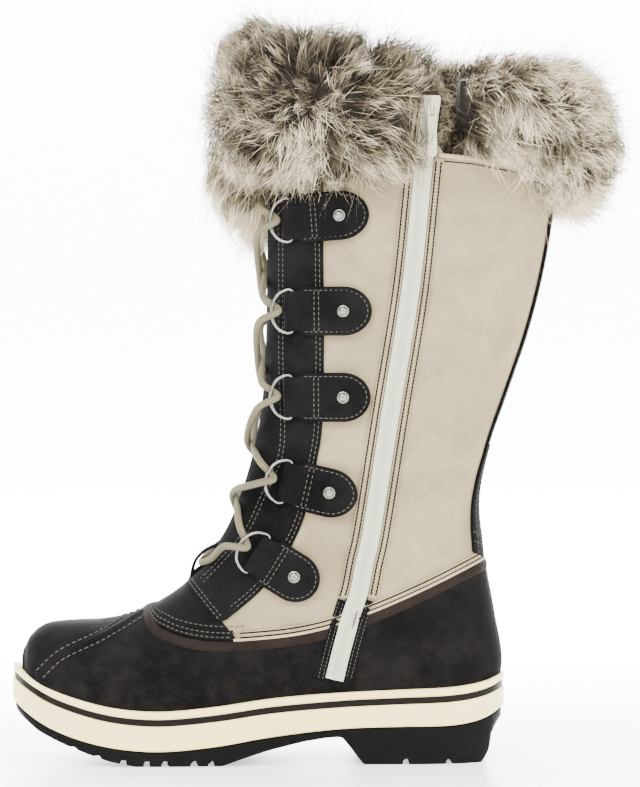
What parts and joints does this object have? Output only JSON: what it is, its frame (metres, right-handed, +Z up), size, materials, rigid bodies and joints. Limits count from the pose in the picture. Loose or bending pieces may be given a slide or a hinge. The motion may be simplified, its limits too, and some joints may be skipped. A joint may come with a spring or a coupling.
{
  "type": "winter boot",
  "caption": "Tall lace-and-zip winter boot for the right foot, with a hollow shaft, a heeled lug sole and a deep faux-fur collar.",
  "frame": {"origin": "on the floor, under the middle of the heel's flat bottom face", "axes": "+X to the toe, +Y to the wearer's left, which is the inner side with the zip, +Z up"},
  "size_m": [0.3472, 0.1475, 0.4171],
  "materials": {
    "outsole": "moulded black rubber, satin",
    "midsole": "cream rubber sidewall, satin",
    "stripe": "thin black rubber stripe",
    "shaft": "taupe brushed leather, matt, faint mottling",
    "charcoal": "charcoal nubuck, matt, rubbed lighter at edges",
    "tongue": "charcoal nubuck, padded",
    "binding": "brown folded edge binding",
    "stay": "black leather strip",
    "insole": "grey-beige felt sock liner",
    "zip_tape": "off-white woven tape with moulded coil",
    "zip_metal": "off-white lacquered zinc",
    "lace": "light khaki braided cord",
    "fur": "long grey-brown faux fur with pale tips",
    "nickel": "nickel plated steel, softly polished"
  },
  "bodies": {
    "root": {"outsole": "outsole", "midsole": "midsole", "foxing_stripe": "stripe", "welt": "midsole", "upper": "shaft", "insole": "insole", "tongue": "tongue", "shell": "charcoal", "binding": "binding", "facing_medial": "charcoal", "facing_lateral": "charcoal", "zip": "zip_tape", "back_stay": "stay", "heel_tab": "charcoal", "d_ring_medial_1": "nickel", "ring_tab_medial_1": "charcoal", "rivet_medial_1": "nickel", "d_ring_medial_2": "nickel", "ring_tab_medial_2": "charcoal", "rivet_medial_2": "nickel", "d_ring_medial_3": "nickel", "ring_tab_medial_3": "charcoal", "rivet_medial_3": "nickel", "d_ring_medial_4": "nickel", "ring_tab_medial_4": "charcoal", "rivet_medial_4": "nickel", "d_ring_medial_5": "nickel", "ring_tab_medial_5": "charcoal", "rivet_medial_5": "nickel", "d_ring_lateral_1": "nickel", "ring_tab_lateral_1": "charcoal", "rivet_lateral_1": "nickel", "d_ring_lateral_2": "nickel", "ring_tab_lateral_2": "charcoal", "rivet_lateral_2": "nickel", "d_ring_lateral_3": "nickel", "ring_tab_lateral_3": "charcoal", "rivet_lateral_3": "nickel", "d_ring_lateral_4": "nickel", "ring_tab_lateral_4": "charcoal", "rivet_lateral_4": "nickel", "d_ring_lateral_5": "nickel", "ring_tab_lateral_5": "charcoal", "rivet_lateral_5": "nickel", "lace": "lace", "zip_slider": "zip_metal", "fur_collar": "fur"},
    "zip_pull": {"zip_pull": "zip_metal"}
  },
  "joints": [
    {"name": "pull_swing", "type": "hinge", "parent": "root", "child": "zip_pull", "pos_m": [-0.0032, 0.05055, 0.37], "axis": [1, 0, 0], "range_deg": [0, 170]}
  ]
}
